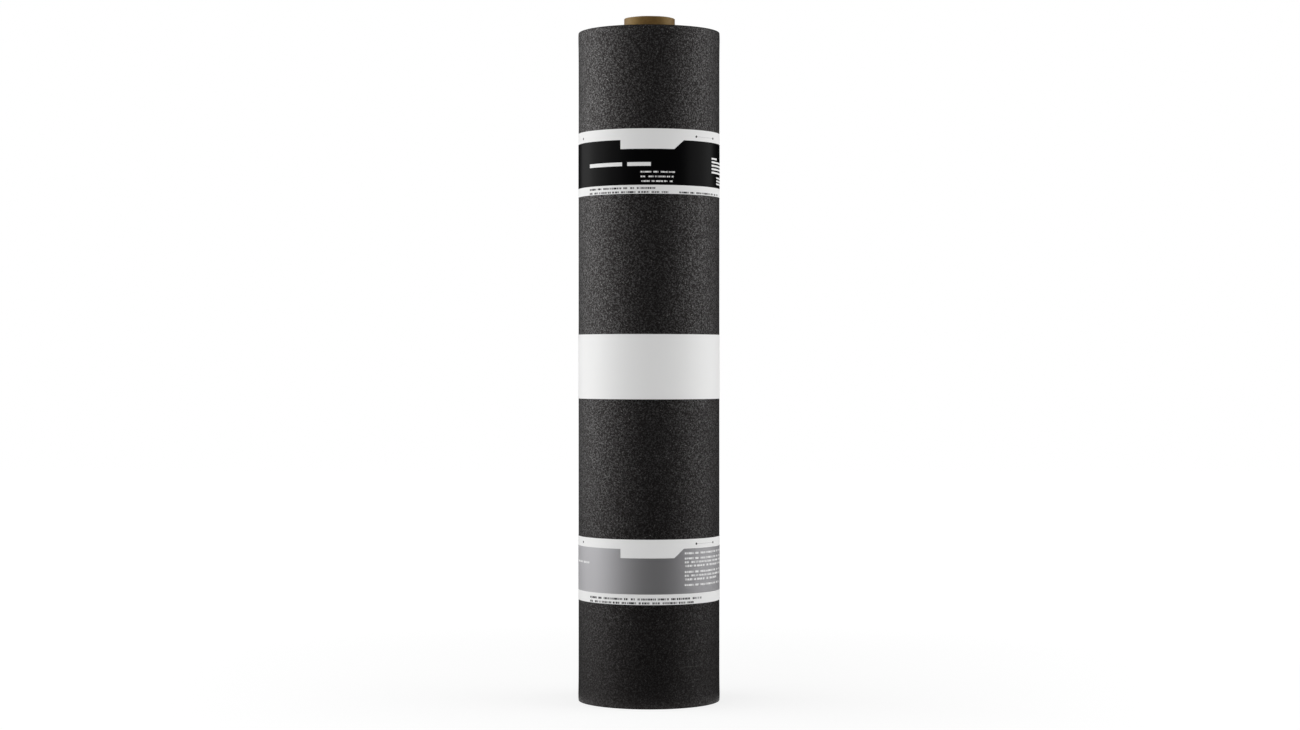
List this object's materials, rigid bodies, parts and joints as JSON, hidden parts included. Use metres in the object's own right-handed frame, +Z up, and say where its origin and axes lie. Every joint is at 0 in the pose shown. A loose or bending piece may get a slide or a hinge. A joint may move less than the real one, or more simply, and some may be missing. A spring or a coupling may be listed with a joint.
{
  "type": "roll of roofing felt",
  "caption": "Sanded bituminous roofing felt wound on a cardboard core, standing on its end and held shut by printed paper bands.",
  "frame": {"origin": "on the core's axis, at the level of the lower end that the roll stands on", "axes": "+Z up along the core's axis, +Y towards the back, where the sheet's tail lies, +X to the right seen from the front"},
  "size_m": [0.2123, 0.2138, 1.021],
  "materials": {
    "felt": "matte",
    "core": "matte",
    "band": "satin"
  },
  "bodies": {
    "root": {"felt_roll": "felt", "core_tube": "core", "upper_band": "band", "middle_band": "band", "lower_band": "band"}
  },
  "joints": []
}
